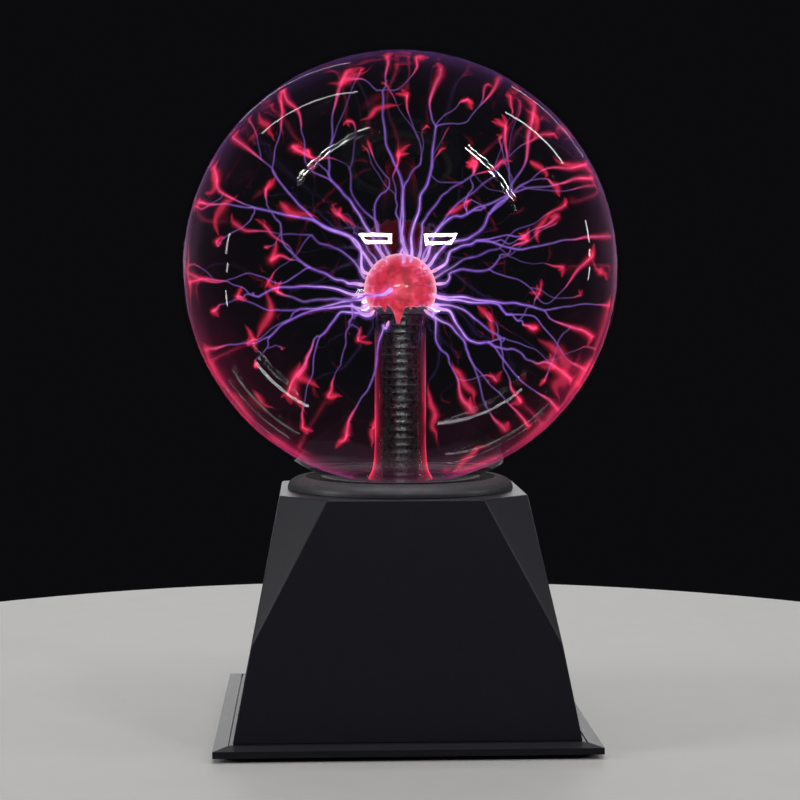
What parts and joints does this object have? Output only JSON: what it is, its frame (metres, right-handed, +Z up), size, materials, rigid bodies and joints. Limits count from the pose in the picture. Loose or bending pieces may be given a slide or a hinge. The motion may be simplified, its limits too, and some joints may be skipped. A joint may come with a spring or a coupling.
{
  "type": "plasma ball",
  "caption": "Plasma ball: a clear glass globe with a central electrode on a stem, held by a round collar on a faceted, tapering square base with a bevelled plate.",
  "frame": {"origin": "on the resting surface, on the globe's vertical axis, at the centre of the four feet", "axes": "+Z up; the front faces -Y; the rocker switch and the power inlet are on the +Y side"},
  "size_m": [0.2, 0.2, 0.306],
  "materials": {
    "housing": "satin black moulded ABS, faintly grained",
    "plate": "satin black moulded ABS",
    "collar": "satin dark grey moulded plastic",
    "clamp_plastic": "black moulded plastic",
    "feet_rubber": "matt black rubber",
    "gasket_rubber": "soft black rubber",
    "screw_steel": "zinc-plated steel",
    "globe_glass": "clear polished blown glass",
    "stem_glass": "clear polished blown glass",
    "electrode": "lit coral-red mottled conductive coating",
    "sleeve_rubber": "black ribbed silicone",
    "plug_silicone": "red-brown silicone",
    "lead_silicone": "red silicone insulation",
    "steel_wool": "matted fine steel wool",
    "board": "green solder mask on glass-fibre board",
    "ferrite": "sintered dark grey ferrite",
    "clip_steel": "spring steel",
    "bobbin_plastic": "natural nylon",
    "copper": "enamelled copper wire",
    "brass": "brass, tin flashed",
    "heat_sink": "extruded aluminium",
    "mica": "grey silicone-mica sheet",
    "package_black": "black moulded epoxy",
    "capacitor_sleeve": "dark blue shrink sleeve",
    "film_epoxy": "red-brown dipped epoxy",
    "resistor_lacquer": "tan lacquer",
    "rotor_plastic": "yellow nylon",
    "inlet_plastic": "black moulded plastic",
    "contact_chrome": "nickel-plated contact",
    "switch_plastic": "black moulded nylon",
    "rocker_plastic": "glossy black nylon",
    "wire_insulation": "PVC insulation"
  },
  "bodies": {
    "root": {"base_housing": "housing", "base_plate": "plate", "foot_1": "feet_rubber", "foot_2": "feet_rubber", "foot_3": "feet_rubber", "foot_4": "feet_rubber", "plate_screws": "screw_steel", "collar_ring": "collar", "globe_gasket": "gasket_rubber", "neck_grommet": "gasket_rubber", "neck_clamp": "clamp_plastic", "clamp_screws": "screw_steel", "globe_glass": "globe_glass", "stem_glass": "stem_glass", "electrode_coating": "electrode", "core_sleeve": "sleeve_rubber", "stem_plug": "plug_silicone", "hv_lead": "lead_silicone", "contact_wool": "steel_wool", "circuit_board": "board", "board_screws": "screw_steel", "lower_core": "ferrite", "upper_core": "ferrite", "core_clip": "clip_steel", "primary_bobbin": "bobbin_plastic", "primary_winding": "copper", "secondary_bobbin": "bobbin_plastic", "secondary_winding": "copper", "hv_terminal": "brass", "heat_sink": "heat_sink", "insulating_pad": "mica", "power_transistor": "package_black", "transistor_screw": "screw_steel", "filter_capacitor_1": "capacitor_sleeve", "filter_capacitor_2": "capacitor_sleeve", "film_capacitor_1": "film_epoxy", "film_capacitor_2": "film_epoxy", "timer_chip": "package_black", "audio_chip": "package_black", "clamp_diode": "package_black", "resistor_1": "resistor_lacquer", "resistor_2": "resistor_lacquer", "resistor_3": "resistor_lacquer", "resistor_4": "resistor_lacquer", "microphone": "heat_sink", "gain_trimmer": "bobbin_plastic", "wire_header": "bobbin_plastic", "power_jack": "inlet_plastic", "jack_pin": "contact_chrome", "jack_terminals": "brass", "jack_nut": "clip_steel", "switch_frame": "switch_plastic", "switch_terminals": "brass", "power_wires": "wire_insulation", "switch_wires": "wire_insulation"},
    "rocker": {"switch_rocker": "rocker_plastic", "switch_plunger": "bobbin_plastic"},
    "blade": {"contact_blade": "brass"},
    "rotor": {"gain_rotor": "rotor_plastic"}
  },
  "joints": [
    {"name": "rocker_tilt", "type": "hinge", "parent": "root", "child": "rocker", "pos_m": [0.017, 0.062, 0.0275], "axis": [-1, 0, 0], "range_deg": [0, 24]},
    {"name": "blade_tilt", "type": "hinge", "parent": "root", "child": "blade", "pos_m": [0.017, 0.0534, 0.0275], "axis": [-1, 0, 0], "range_deg": [-16, 0]},
    {"name": "gain_turn", "type": "hinge", "parent": "root", "child": "rotor", "pos_m": [0.018, 0.008, 0.018], "axis": [0, 0, 1], "range_deg": [-130, 130]}
  ],
  "couplings": [
    {"joint": "blade_tilt", "follows": "rocker_tilt", "ratio": -0.66667}
  ]
}
